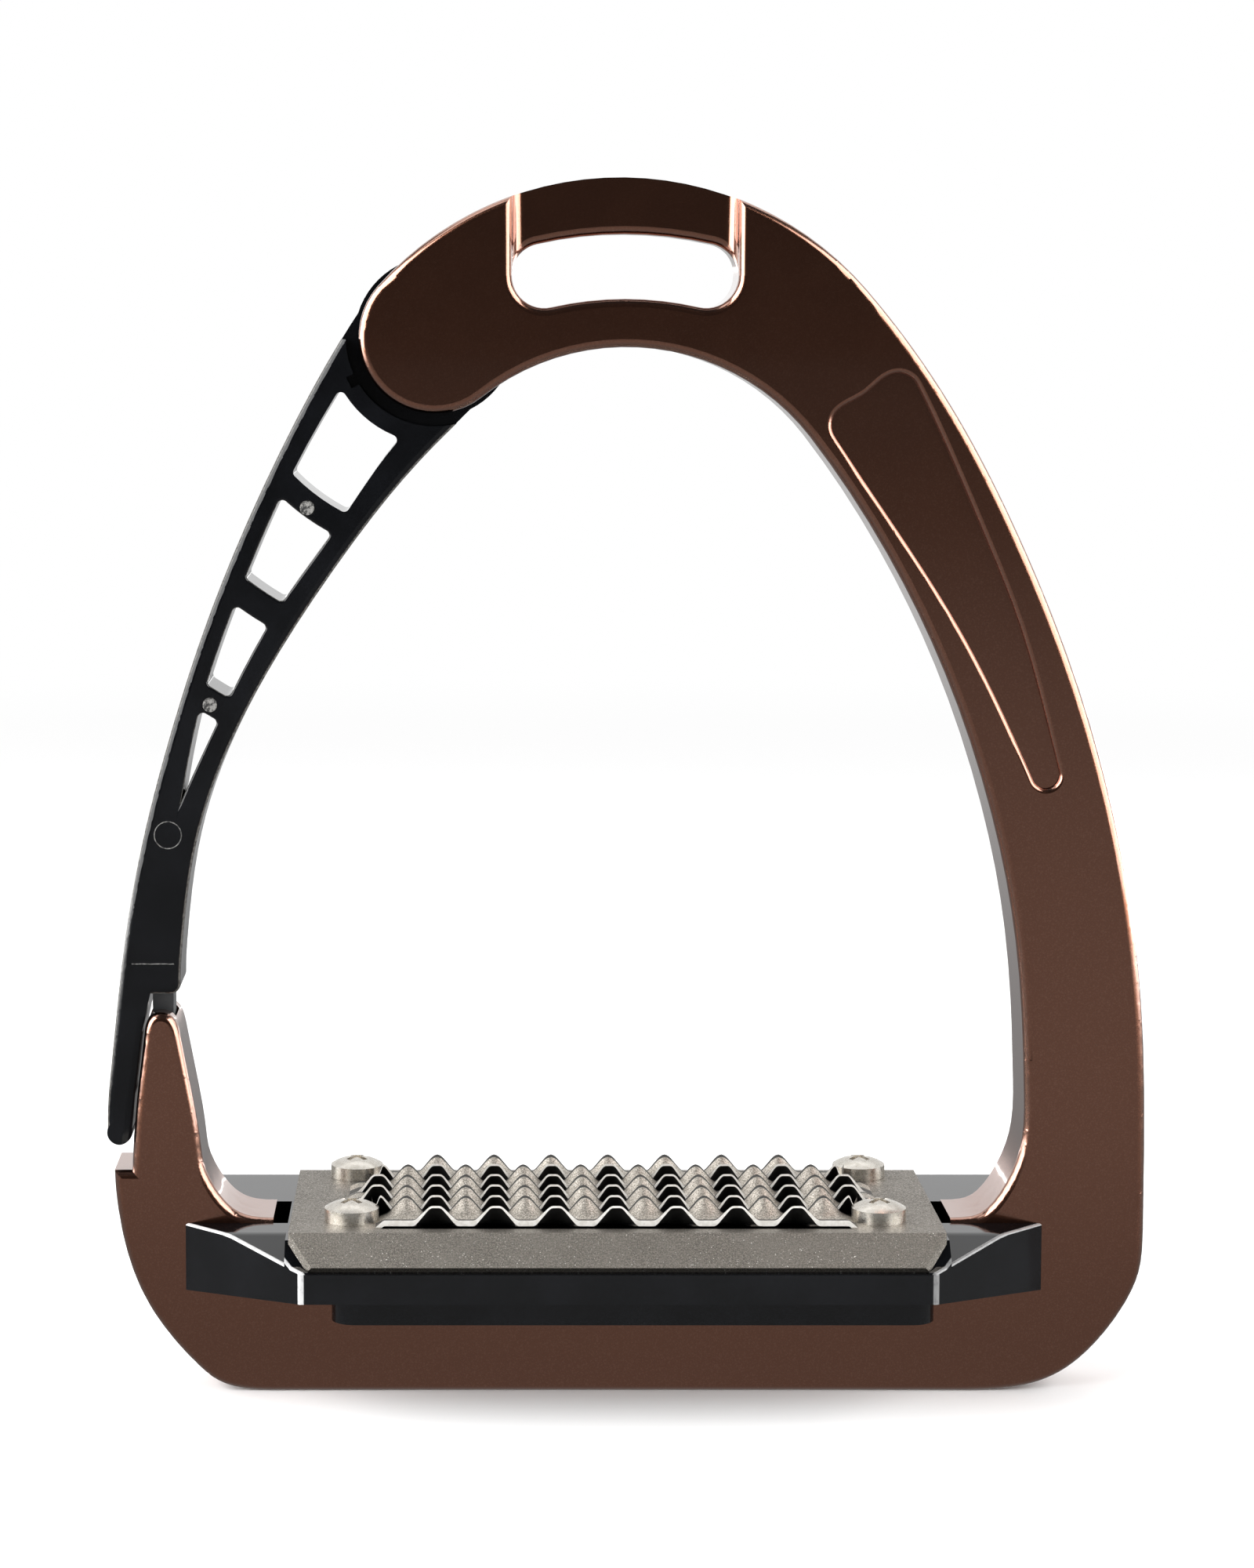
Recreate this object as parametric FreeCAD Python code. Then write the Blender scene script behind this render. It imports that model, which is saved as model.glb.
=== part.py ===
import FreeCAD, Part
import math
import os
from FreeCAD import Vector

# Safety stirrup iron, in millimetres. +X is to the right, +Y to the back and +Z up.
# The origin is the middle of the flat base: it stands on Z = 0, and Y = 0 is the middle of the frame.

# ---- driving dimensions ----
THICK = 13.5                    # frame, front face to back face
HALF = THICK / 2
EDGE_ROUND = 1.2                # rounding of the frame's long edges
REACH = 77.1                    # half the overall width
BASE_LEFT, BASE_RIGHT = -52.4, 49.4     # ends of the flat underside

ARCH_X, ARCH_Z, ARCH_R = -1.25, 132.57, 47.6    # outer curve of the arch
PIVOT_X, PIVOT_Z, LOBE_R = -28.4, 156.9, 11.14  # round end of the arch, where the arm hangs
INNER_X, INNER_TOP = -0.4, 155.44               # crown of the foot opening
FOOT_Z = 26.15                  # where the inner feet end, beside the tread
BAR_TOP = 16.5                  # top of the bottom bar under the tread
SEAT_LEFT, SEAT_RIGHT = -52.5, 48.3     # walls of the tread's seat in the frame
SHOULDER_Z = 33.4               # ledge below the tip of the arm

EYE_X, EYE_MID_Z, EYE_MID_R = -0.6, 167.2, 53.0     # stirrup leather slot, a bent oblong
EYE_HALF_WIDTH, EYE_HALF_ANGLE = 4.7, 12.9
LEATHER_WAIST = 3.2             # how far the bar over the slot is let in, front and back
BAR_ROUND = 1.2                 # rounding of that bar's lower edges
POCKET_DEPTH, POCKET_ROUND = 0.9, 0.7   # recess on the front of the right branch, and its rim

ARM_HALF = 6.5                  # half the release arm's thickness
ARM_EDGE_ROUND, RIM_ROUND = 1.0, 0.35   # rounding of the rails' outer edges and of the openings
HEAD_R = 13.0                   # the thick part of the arm stops this far from the pivot
TONGUE_R, TONGUE_HALF = 11.8, 2.7       # middle tongue that enters the frame
LOBE_SLOT_R, LOBE_SLOT_HALF = 12.15, 3.2
ARM_GAP = 0.35                  # gap between the arm and the frame's stub
ARM_FOOT_Z = 59.9               # lower edge of the arm over the stub
TIP_R = 76.0                    # beyond it the last window runs to a sharp tip
WINDOW_RINGS = [(15.5, 28.8), (32.4, 44.8), (48.9, 60.9), (64.7, 82.0)]
WINDOW_ROUND = 0.8

TREAD_X = -1.85                 # middle of the tread
PLATE_TOP = 27.4
SHEET = 1.2                     # tread sheet thickness
PLATE_HALF_X, PLATE_HALF_Y = 47.8, 19.85
FLANGE_RUN, FLANGE_DROP, FLANGE_TRIM = 4.2, 4.1, 3.5
BODY_HALF_Y = 24.4
BODY_HALF_X = 63.7
CORNER_HALF_X, REAR_CORNER_HALF_X = 45.9, 61.0    # where its slanted ends begin, front and rear
WING_TOP, WING_EDGE, WING_BREAK_Y = 25.6, 22.6, 13.0    # wings: flat top, falling away to the front
WING_ROUND, CORNER_ROUND, RIDGE_ROUND = 5.0, 0.7, 0.4
BODY_LOW_IN, BODY_LOW_OUT = 15.5, 18.0  # underside at the frame and at the outer face
SIDE_GAP, SHEET_GAP = 0.5, 0.03  # between the sheet and the wings, and under the sheet

TOOTH_PITCH = 8.8
TOOTH_ROWS, TOOTH_ROW_DEPTH = 5, 6.7
TOOTH_HEIGHT, TROUGH_HEIGHT = 3.2, 0.5
CREST_HALF, FOOT_HALF = 0.8, 3.05
STRIP_HALF_X = (35.2, 35.9, 39.6, 39.6, 35.9)   # half length of each toothed strip, front to rear
STRIP_REACH = (3, 4, 4, 4, 4)   # teeth on each side of the middle one, front edge of each strip
STRIP_RAMP = 1.2                # slope at a strip's ends, down to the sheet
LANCE_GAP = 0.12                # saw-thin gap between two toothed strips

SCREW_HALF_X, SCREW_FRONT_Y, SCREW_REAR_Y = 38.8, -12.0, 16.0
SCREW_R, SCREW_LENGTH = 2.0, 14.0
HEAD_SCREW_R, HEAD_SCREW_H = 4.0, 3.1
NUT_BAR_LEFT, NUT_BAR_RIGHT, NUT_BAR_LOW = -43.6, 45.0, 12.9
NUT_BAR_FRONT, NUT_BAR_REAR = -16.9, 21.0
NUT_R, NUT_H = 2.6, 2.2
BOLT_HALF_X, BOLT_R, BOLT_HEAD_R, BOLT_HEAD_H = 24.0, 2.5, 4.25, 2.8
BOLT_LOW = 0.35                 # underside of the base bolts' heads, sunk in the base
INSERT_R, INSERT_H = 3.55, 6.0

SHOULDER_R, BUSH_R, FIT = 2.5, 3.1, 0.04
PIVOT_HEAD_R, PIVOT_HEAD_H, PIVOT_THREAD_R = 4.45, 2.0, 2.0
SPRING_WIRE_R, SPRING_R, SPRING_TURNS, SPRING_LEG = 0.35, 3.85, 3.5, 1.4
ABOVE = 80.0                    # reach of a cutter that has to pass everything


# ---- small helpers ----
def on_plane(point, y=0.0):
    return Vector(point[0], y, point[1])


def line(a, b):
    return Part.LineSegment(on_plane(a), on_plane(b)).toShape()


def arc(a, through, b):
    return Part.Arc(on_plane(a), on_plane(through), on_plane(b)).toShape()


def spline(points, start, end):
    """A smooth curve through points, leaving along start and arriving along end."""
    curve = Part.BSplineCurve()
    curve.interpolate(Points=[on_plane(p) for p in points], InitialTangent=on_plane(start),
                      FinalTangent=on_plane(end), Scale=True)
    return curve.toShape()


def slab(edges, y_low, y_high):
    """The flat outline made of edges, as a solid between two depths."""
    face = Part.Face(Part.Wire(edges))
    face.translate(Vector(0, y_low, 0))
    return face.extrude(Vector(0, y_high - y_low, 0))


def box(x, y, z):
    """A block between the two values given for each axis."""
    return Part.makeBox(x[1] - x[0], y[1] - y[0], z[1] - z[0], Vector(x[0], y[0], z[0]))


def rod_y(x, z, radius, y_low, y_high):
    return Part.makeCylinder(radius, y_high - y_low, Vector(x, y_low, z), Vector(0, 1, 0))


def rod_z(x, y, radius, z_low, z_high):
    return Part.makeCylinder(radius, z_high - z_low, Vector(x, y, z_low))


def on_circle(x, z, radius, degrees):
    return (x + radius * math.cos(math.radians(degrees)), z + radius * math.sin(math.radians(degrees)))


def angle_from(x, z, point):
    return math.degrees(math.atan2(point[1] - z, point[0] - x))


def face_edges(solid, *depths):
    """The edges that lie in the planes Y = depth."""
    found = []
    for edge in solid.Edges:
        bounds = edge.BoundBox
        for depth in depths:
            if abs(bounds.YMin - depth) < 1e-4 and abs(bounds.YMax - depth) < 1e-4:
                found.append(edge)
    return found


def rim_edges(solid, cutter, *depths):
    """The edges that a cutter left in the planes Y = depth."""
    def middle(edge):
        return Part.Vertex(edge.valueAt((edge.FirstParameter + edge.LastParameter) / 2))

    return [e for e in face_edges(solid, *depths) if cutter.distToShape(middle(e))[0] < 0.01]


def hex_prism(x, y, z, flats, height):
    corners = [Vector(x + flats / math.sqrt(3) * math.cos(math.radians(60 * k)),
                      y + flats / math.sqrt(3) * math.sin(math.radians(60 * k)), z) for k in range(7)]
    return Part.Face(Part.makePolygon(corners)).extrude(Vector(0, 0, height))


# ---- frame ----
def stub_outer_edge(shift=0.0):
    """Outer side of the stub, from its top down to the ledge, moved outwards by shift."""
    return [(-71.5 - shift, 54.2), (-72.5 - shift, 46.0), (-73.5 - shift, SHOULDER_Z)]


def crown_radius():
    """Radius of the opening's crown, which touches the round lobe from outside."""
    across = PIVOT_X - INNER_X
    above = PIVOT_Z - INNER_TOP
    return (across ** 2 + above ** 2 - LOBE_R ** 2) / (2 * (LOBE_R - above))


def frame_outline():
    crown_r = crown_radius()
    crown_z = INNER_TOP - crown_r
    lobe_top = on_circle(ARCH_X, ARCH_Z, ARCH_R, angle_from(ARCH_X, ARCH_Z, (PIVOT_X, PIVOT_Z)))
    lobe_foot = on_circle(PIVOT_X, PIVOT_Z, LOBE_R, angle_from(PIVOT_X, PIVOT_Z, (INNER_X, crown_z)))
    arch_end = on_circle(ARCH_X, ARCH_Z, ARCH_R, 41)
    crown_end = on_circle(INNER_X, crown_z, crown_r, 38)
    shoulder_in, shoulder_out = stub_outer_edge()[-1], (-76.1, SHOULDER_Z)
    return [
        line((BASE_LEFT, 0), (BASE_RIGHT, 0)),
        spline([(BASE_RIGHT, 0), (66.2, 3.6), (75.6, 15.3), (REACH, 30)], (1, 0), (0, 1)),
        spline([(REACH, 30), (76.2, 59.5), (66.0, 106.5), (56.5, 129.5), arch_end],
               (0, 1), (-0.656, 0.755)),
        arc(arch_end, (ARCH_X, ARCH_Z + ARCH_R), lobe_top),
        arc(lobe_top, (PIVOT_X - LOBE_R, PIVOT_Z), lobe_foot),
        arc(lobe_foot, (INNER_X, INNER_TOP), crown_end),
        spline([crown_end, (36.7, 127.4), (47.6, 105.3), (54.7, 83), (58.9, 50)],
               (0.616, -0.788), (0.03, -1)),
        spline([(58.9, 50), (57.2, 32.6), (53.6, 27.4), (SEAT_RIGHT, FOOT_Z)], (0.03, -1), (-1, 0)),
        line((SEAT_RIGHT, FOOT_Z), (SEAT_RIGHT, BAR_TOP)),
        line((SEAT_RIGHT, BAR_TOP), (SEAT_LEFT, BAR_TOP)),
        line((SEAT_LEFT, BAR_TOP), (SEAT_LEFT, FOOT_Z)),
        spline([(SEAT_LEFT, FOOT_Z), (-58.4, 27.5), (-62.2, 32.6), (-64.2, 43.5)], (-1, 0), (-0.19, 0.98)),
        line((-64.2, 43.5), (-66.2, 53.8)),
        spline([(-66.2, 53.8), (-68.6, 57.1), stub_outer_edge()[0]], (-0.19, 0.98), (-0.1, -1)),
        spline(stub_outer_edge(), (-0.1, -1), (-0.05, -1)),
        line(shoulder_in, shoulder_out),
        spline([shoulder_out, (-75.1, 24.4), (-70.8, 12.5), (-63.6, 3.6), (BASE_LEFT, 0)],
               (0.02, -1), (1, 0)),
    ]


def bent_oblong(half_width, y_low, y_high):
    """The leather slot's shape: part of a ring with round ends."""
    centre_z = EYE_MID_Z - EYE_MID_R
    outer, inner = EYE_MID_R + half_width, EYE_MID_R - half_width
    low, high = 90 - EYE_HALF_ANGLE, 90 + EYE_HALF_ANGLE

    def at(radius, degrees):
        return on_circle(EYE_X, centre_z, radius, degrees)

    def round_end(degrees, side):
        middle = at(EYE_MID_R, degrees)
        return on_circle(middle[0], middle[1], half_width, degrees + 90 * side)

    edges = [
        arc(at(outer, low), at(outer, 90), at(outer, high)),
        arc(at(outer, high), round_end(high, 1), at(inner, high)),
        arc(at(inner, high), at(inner, 90), at(inner, low)),
        arc(at(inner, low), round_end(low, -1), at(outer, low)),
    ]
    return slab(edges, y_low, y_high)


def leather_waist(side):
    """Cutter that lets in the bar over the leather slot on one face: coved ends, rounded shoulders."""
    end_x, end_z = on_circle(EYE_X, EYE_MID_Z - EYE_MID_R, EYE_MID_R, 90 - EYE_HALF_ANGLE)
    half_width = end_x - EYE_X + EYE_HALF_WIDTH + 0.03
    floor = HALF - LEATHER_WAIST
    cove = LEATHER_WAIST - EDGE_ROUND - 0.1
    corner = math.sqrt(0.5)
    above = HALF + 5

    def point(x, y):
        return Vector(EYE_X + x, side * y, end_z)

    def end(hand):
        """Outside face, round shoulder, wall and cove at one end, from outside to the floor."""
        wall = hand * half_width
        outside = hand * (half_width + EDGE_ROUND)
        inside = hand * (half_width - cove)
        return [
            Part.LineSegment(point(outside, above), point(outside, HALF)).toShape(),
            Part.Arc(point(outside, HALF), point(outside - hand * EDGE_ROUND * corner,
                                                 HALF - EDGE_ROUND * (1 - corner)),
                     point(wall, HALF - EDGE_ROUND)).toShape(),
            Part.LineSegment(point(wall, HALF - EDGE_ROUND), point(wall, floor + cove)).toShape(),
            Part.Arc(point(wall, floor + cove),
                     point(inside + hand * cove * corner, floor + cove * (1 - corner)),
                     point(inside, floor)).toShape(),
        ]

    floor_line = Part.LineSegment(point(cove - half_width, floor), point(half_width - cove, floor)).toShape()
    top_line = Part.LineSegment(point(half_width + EDGE_ROUND, above),
                                point(-half_width - EDGE_ROUND, above)).toShape()
    outline = Part.Wire(Part.__sortEdges__(end(-1) + [floor_line] + end(1) + [top_line]))
    return Part.Face(outline).extrude(Vector(0, 0, 30))


def clockwise(degrees):
    """Direction of travel at an angle on a circle that is followed clockwise."""
    return (math.sin(math.radians(degrees)), -math.cos(math.radians(degrees)))


def branch_pocket():
    """Cutter for the long drop-shaped recess: three round corners joined by gentle curves."""
    corners = [(32.6, 144.1, 3.0, 213, 131), (39.3, 148.6, 3.1, 115, 27), (61.6, 92.6, 2.0, 15, -156)]
    sides = [[(34.4, 148.6)], [(51.7, 128.9), (57.4, 114.8)], [(49.2, 113.3), (40.0, 127.8)]]
    edges = []
    for k, (x, z, radius, first, last) in enumerate(corners):
        edges.append(arc(on_circle(x, z, radius, first), on_circle(x, z, radius, (first + last) / 2),
                         on_circle(x, z, radius, last)))
        next_x, next_z, next_radius, next_first, _ = corners[(k + 1) % len(corners)]
        route = [on_circle(x, z, radius, last)] + sides[k]
        route.append(on_circle(next_x, next_z, next_radius, next_first))
        edges.append(spline(route, clockwise(last), clockwise(next_first)))
    return slab(edges, -HALF - 1, -HALF + POCKET_DEPTH)


def lobe_slot():
    """Slot in the middle of the lobe for the arm's tongue, deeper on its outer side."""
    slot = rod_y(PIVOT_X, PIVOT_Z, LOBE_SLOT_R, -LOBE_SLOT_HALF, LOBE_SLOT_HALF)
    wide_r = 14.4
    wide = rod_y(PIVOT_X, PIVOT_Z, wide_r, -LOBE_SLOT_HALF, LOBE_SLOT_HALF)
    quarter = box((PIVOT_X - 20, PIVOT_X - 1.0), (-HALF, HALF), (PIVOT_Z - 20, PIVOT_Z + 20))
    return slot.fuse(wide.common(quarter))


def pivot_holes():
    """Counterbore and shoulder hole from the back, and a blind tapped hole in the front cheek."""
    head = rod_y(PIVOT_X, PIVOT_Z, PIVOT_HEAD_R + 0.15, HALF - PIVOT_HEAD_H - 0.2, HALF + 1)
    shoulder = rod_y(PIVOT_X, PIVOT_Z, SHOULDER_R + FIT, 0, HALF)
    tapped = rod_y(PIVOT_X, PIVOT_Z, PIVOT_THREAD_R + FIT, -HALF + 0.8, 0)
    leg_end = -LOBE_SLOT_HALF - SPRING_LEG - 0.2
    spring_leg = rod_y(PIVOT_X + SPRING_R, PIVOT_Z, SPRING_WIRE_R + 0.1, leg_end, 0)
    return [head, shoulder, tapped, spring_leg]


def stub_slot():
    """Slot in the stub's top, open to the outside, for the arm's buffer."""
    return box((-ABOVE, -67.0), (-LOBE_SLOT_HALF, LOBE_SLOT_HALF), (44.0, 60))


def base_holes():
    cutters = []
    for side in (-1, 1):
        x = TREAD_X + side * BOLT_HALF_X
        cutters.append(rod_z(x, 0, BOLT_R + 0.1, -1, BAR_TOP + 1))
        cutters.append(rod_z(x, 0, BOLT_HEAD_R + 0.25, -1, BOLT_HEAD_H + 0.4))
    return cutters


def build_frame():
    eye = bent_oblong(EYE_HALF_WIDTH, -HALF - 1, HALF + 1)
    blank = slab(frame_outline(), -HALF, HALF).cut(eye)
    long_edges = []
    for edge in face_edges(blank, -HALF, HALF):
        middle = edge.CenterOfMass
        in_seat = 1 < middle.z < FOOT_Z + 0.05 and SEAT_LEFT - 0.1 < middle.x < SEAT_RIGHT + 0.1
        if not in_seat:
            long_edges.append(edge)
    frame = blank.makeFillet(EDGE_ROUND, long_edges)
    frame = frame.cut([leather_waist(1), leather_waist(-1)])
    bar_face = HALF - LEATHER_WAIST
    bar_edges = rim_edges(frame, eye, -bar_face, bar_face)
    frame = frame.makeFillet(BAR_ROUND, bar_edges)
    pocket = branch_pocket()
    frame = frame.cut(pocket)
    frame = frame.makeFillet(POCKET_ROUND, rim_edges(frame, pocket, -HALF))
    return frame.cut([lobe_slot(), stub_slot()] + pivot_holes() + base_holes())


# ---- release arm ----
ARM_OUTER = [(-36.9, 164.2), (-42.1, 156.6), (-51.6, 139.1), (-60.9, 117.9), (-68.5, 94.8), (-73.8, 71.5),
             (-76.6, 48.0), (-REACH, 39.4)]
ARM_INNER = [(-22.9, 146.6), (-29.5, 140.0), (-43.3, 122.8), (-57.6, 99.2), (-63.9, 81.3), (-65.9, 66.0),
             (-66.1, ARM_FOOT_Z + 1.6)]


def arm_curves():
    outer = spline(ARM_OUTER, (-0.62, -0.78), (0, -1))
    inner = spline(ARM_INNER, (-0.7, -0.71), (0, -1))
    return outer, inner


def arm_outline():
    outer, inner = arm_curves()
    hook = stub_outer_edge(ARM_GAP)
    foot_right, foot_corner = (-66.1, ARM_FOOT_Z + 1.6), (-67.6, ARM_FOOT_Z)
    return [
        outer,
        arc(ARM_OUTER[-1], (-75.8, 37.4), (hook[1][0] - 0.6, 39.6)),
        line((hook[1][0] - 0.6, 39.6), hook[1]),
        line(hook[1], hook[0]),
        line(hook[0], (-70.6, ARM_FOOT_Z)),
        line((-70.6, ARM_FOOT_Z), foot_corner),
        arc(foot_corner, (-66.5, ARM_FOOT_Z + 0.5), foot_right),
        inner,
        line(ARM_INNER[0], ARM_OUTER[0]),
    ]


def arm_windows():
    """Four openings between the rails, with ribs that are rings about the pivot."""
    tip = (-65.85, 88.6)
    outer_side = [(-33.6, 161.9), (-42.5, 149.0), (-50.2, 135.2), (-57.0, 119.7), (-62.5, 104.2), tip]
    inner_side = [tip, (-59.4, 102.5), (-51.8, 116.5), (-42.3, 129.9), (-33.3, 142.3), (-25.9, 149.5)]
    band = slab([spline(outer_side, (-0.6, -0.8), (-0.17, -0.98)),
                 spline(inner_side, (0.4, 0.92), (0.72, 0.7)),
                 line(inner_side[-1], outer_side[0])], -ARM_HALF - 1, ARM_HALF + 1)
    windows = []
    for low, high in WINDOW_RINGS:
        ring = rod_y(PIVOT_X, PIVOT_Z, high, -ARM_HALF - 2, ARM_HALF + 2)
        ring = ring.cut(rod_y(PIVOT_X, PIVOT_Z, low, -ARM_HALF - 3, ARM_HALF + 3))
        window = band.common(ring)
        corners = [e for e in window.Edges if e.BoundBox.YLength > ARM_HALF
                   and math.hypot(e.CenterOfMass.x - PIVOT_X, e.CenterOfMass.z - PIVOT_Z) < TIP_R]
        windows.append(window.makeFillet(WINDOW_ROUND, corners))
    return windows


def hook_bevel(side):
    """Cutter for the slope on the hook's inner side, between a ridge line and the stub."""
    ridge_low, ridge_high = (-75.2, 36.0), (-72.4, 56.6)
    width, depth = 5.0, 3.4
    face_y = side * ARM_HALF
    outline = Part.makePolygon([
        Vector(ridge_low[0], face_y, ridge_low[1]),
        Vector(ridge_low[0] + width, face_y + side, ridge_low[1]),
        Vector(ridge_low[0] + width, face_y - side * depth, ridge_low[1]),
        Vector(ridge_low[0], face_y, ridge_low[1]),
    ])
    return Part.Face(outline).extrude(on_plane((ridge_high[0] - ridge_low[0], ridge_high[1] - ridge_low[1])))


def mould_marks():
    """Shallow pin marks on two ribs, a ring left by a larger pin, and a fine step line."""
    face_y, depth = -ARM_HALF, 0.15
    marks = [rod_y(x, z, 1.15, face_y - 1, face_y + depth) for x, z in ((-47.1, 132.0), (-61.5, 103.0))]
    pin_x, pin_z, pin_r = -67.8, 83.7, 2.1
    ring = rod_y(pin_x, pin_z, pin_r, face_y - 1, face_y + depth)
    marks.append(ring.cut(rod_y(pin_x, pin_z, pin_r - 0.2, face_y - 2, face_y + 1)))
    marks.append(box((-74.0, -66.9), (face_y - 1, face_y + depth), (64.4, 64.6)))
    return marks


def build_arm():
    full = slab(arm_outline(), -ARM_HALF, ARM_HALF)
    shortest_rail = 60
    rails = [e for e in face_edges(full, -ARM_HALF, ARM_HALF) if e.Length > shortest_rail]
    full = full.makeFillet(ARM_EDGE_ROUND, rails)
    over_head = box((-45, -20), (-8, 8), (PIVOT_Z - 0.3, 180))
    full = full.cut([rod_y(PIVOT_X, PIVOT_Z, HEAD_R, -ARM_HALF - 1, ARM_HALF + 1), over_head])
    full = max(full.Solids, key=lambda solid: solid.Volume)
    windows = arm_windows()
    full = full.cut(windows)
    outside_head = windows[1:]
    for window in outside_head:
        full = full.makeFillet(RIM_ROUND, rim_edges(full, window, -ARM_HALF, ARM_HALF))
    full = full.cut([hook_bevel(-1), hook_bevel(1)] + mould_marks())
    tongue = slab(arm_outline(), -TONGUE_HALF, TONGUE_HALF)
    tongue = tongue.common(rod_y(PIVOT_X, PIVOT_Z, HEAD_R + 1, -TONGUE_HALF, TONGUE_HALF))
    tongue = tongue.fuse(rod_y(PIVOT_X, PIVOT_Z, TONGUE_R, -TONGUE_HALF, TONGUE_HALF))
    arm = full.fuse(tongue)
    bore = rod_y(PIVOT_X, PIVOT_Z, BUSH_R + 0.02, -9, 9)
    coil_r = SPRING_R + SPRING_WIRE_R + 0.25
    coil_room = rod_y(PIVOT_X, PIVOT_Z, coil_r, -TONGUE_HALF - 1, spring_end() + SPRING_WIRE_R + 0.15)
    leg_room = rod_y(PIVOT_X - SPRING_R, PIVOT_Z, SPRING_WIRE_R + 0.1, 0, spring_end() + SPRING_LEG + 0.1)
    notch = box((-0.9, 0.9), (-ARM_HALF - 1, -TONGUE_HALF - 0.5), (-HEAD_R - 1.2, -HEAD_R + 1))
    notch.rotate(Vector(0, 0, 0), Vector(0, 1, 0), 62)
    notch.translate(Vector(PIVOT_X, 0, PIVOT_Z))
    socket = box((-70.35, -67.95), (-2.3, 2.3), (ARM_FOOT_Z - 1, ARM_FOOT_Z + 5))
    return arm.cut([bore, coil_room, leg_room, notch, socket])


def build_buffer():
    """Rubber block in the arm's lower end that beds in the stub's slot."""
    stem = box((-70.3, -68.0), (-2.25, 2.25), (46.0, ARM_FOOT_Z + 4.9))
    head = box((-70.5, -67.4), (-2.7, 2.7), (52.0, ARM_FOOT_Z - 0.05))
    return stem.fuse(head).removeSplitter()


# ---- pivot ----
def build_pivot_screw():
    head_top = HALF - 0.15
    head_low = head_top - PIVOT_HEAD_H
    thread_end = -LOBE_SLOT_HALF + 0.02
    head = rod_y(PIVOT_X, PIVOT_Z, PIVOT_HEAD_R, head_low, head_top)
    shoulder = rod_y(PIVOT_X, PIVOT_Z, SHOULDER_R, thread_end, head_low)
    thread = rod_y(PIVOT_X, PIVOT_Z, PIVOT_THREAD_R, -HALF + 1.0, thread_end)
    socket = hex_prism(0, 0, 0, 2.5, 1.3)
    socket.rotate(Vector(0, 0, 0), Vector(1, 0, 0), -90)
    socket.translate(Vector(PIVOT_X, head_top - 1.25, PIVOT_Z))
    return head.fuse([shoulder, thread]).cut(socket).removeSplitter()


def build_bush():
    outer = rod_y(PIVOT_X, PIVOT_Z, BUSH_R, -TONGUE_HALF, TONGUE_HALF)
    return outer.cut(rod_y(PIVOT_X, PIVOT_Z, SHOULDER_R + FIT, -9, 9))


def build_washer(outer_r, side):
    low, high = sorted((side * (TONGUE_HALF + 0.05), side * (LOBE_SLOT_HALF - 0.03)))
    ring = rod_y(PIVOT_X, PIVOT_Z, outer_r, low, high)
    return ring.cut(rod_y(PIVOT_X, PIVOT_Z, SHOULDER_R + FIT, -9, 9))


def spring_pitch():
    return 2 * SPRING_WIRE_R + 0.1


def spring_start():
    """Depth of the coil's first turn, at the front face of the tongue."""
    return -TONGUE_HALF + SPRING_WIRE_R + 0.1


def spring_end():
    return spring_start() + spring_pitch() * SPRING_TURNS


def build_spring():
    """Torsion coil round the bush, with one leg into the front cheek and one into the tongue."""
    helix = Part.makeHelix(spring_pitch(), spring_pitch() * SPRING_TURNS, SPRING_R)
    profile = Part.Wire(Part.makeCircle(SPRING_WIRE_R, Vector(SPRING_R, 0, 0), Vector(0, 1, 0)))
    coil = Part.Wire(helix).makePipeShell([profile], True, True)
    coil.rotate(Vector(0, 0, 0), Vector(1, 0, 0), -90)
    coil.translate(Vector(PIVOT_X, spring_start(), PIVOT_Z))
    legs = [
        rod_y(PIVOT_X + SPRING_R, PIVOT_Z, SPRING_WIRE_R, -LOBE_SLOT_HALF - SPRING_LEG, spring_start()),
        rod_y(PIVOT_X - SPRING_R, PIVOT_Z, SPRING_WIRE_R, spring_end(), spring_end() + SPRING_LEG),
    ]
    return coil.fuse(legs)


# ---- tread body ----
def prism_along_x(profile, x_low, x_high):
    """A solid whose section is a list of (y, z) points."""
    points = [Vector(x_low, y, z) for y, z in profile]
    return Part.Face(Part.makePolygon(points + points[:1])).extrude(Vector(x_high - x_low, 0, 0))


def mirrored(half_profile):
    """A closed (y, z) outline from its rear half, which runs from the bottom to the top."""
    return half_profile + [(-y, z) for y, z in reversed(half_profile)]


def body_plan():
    """The tread body seen from above: long slanted ends at the front, short ones at the rear."""
    half = [(BODY_HALF_X, -HALF), (BODY_HALF_X, HALF), (REAR_CORNER_HALF_X, BODY_HALF_Y)]
    corners = [(CORNER_HALF_X, -BODY_HALF_Y)] + half
    corners += [(-x, y) for x, y in reversed(corners)]
    points = [Vector(TREAD_X + x, y, 0) for x, y in corners]
    return Part.Face(Part.makePolygon(points + points[:1])).extrude(Vector(0, 0, ABOVE))


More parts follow.
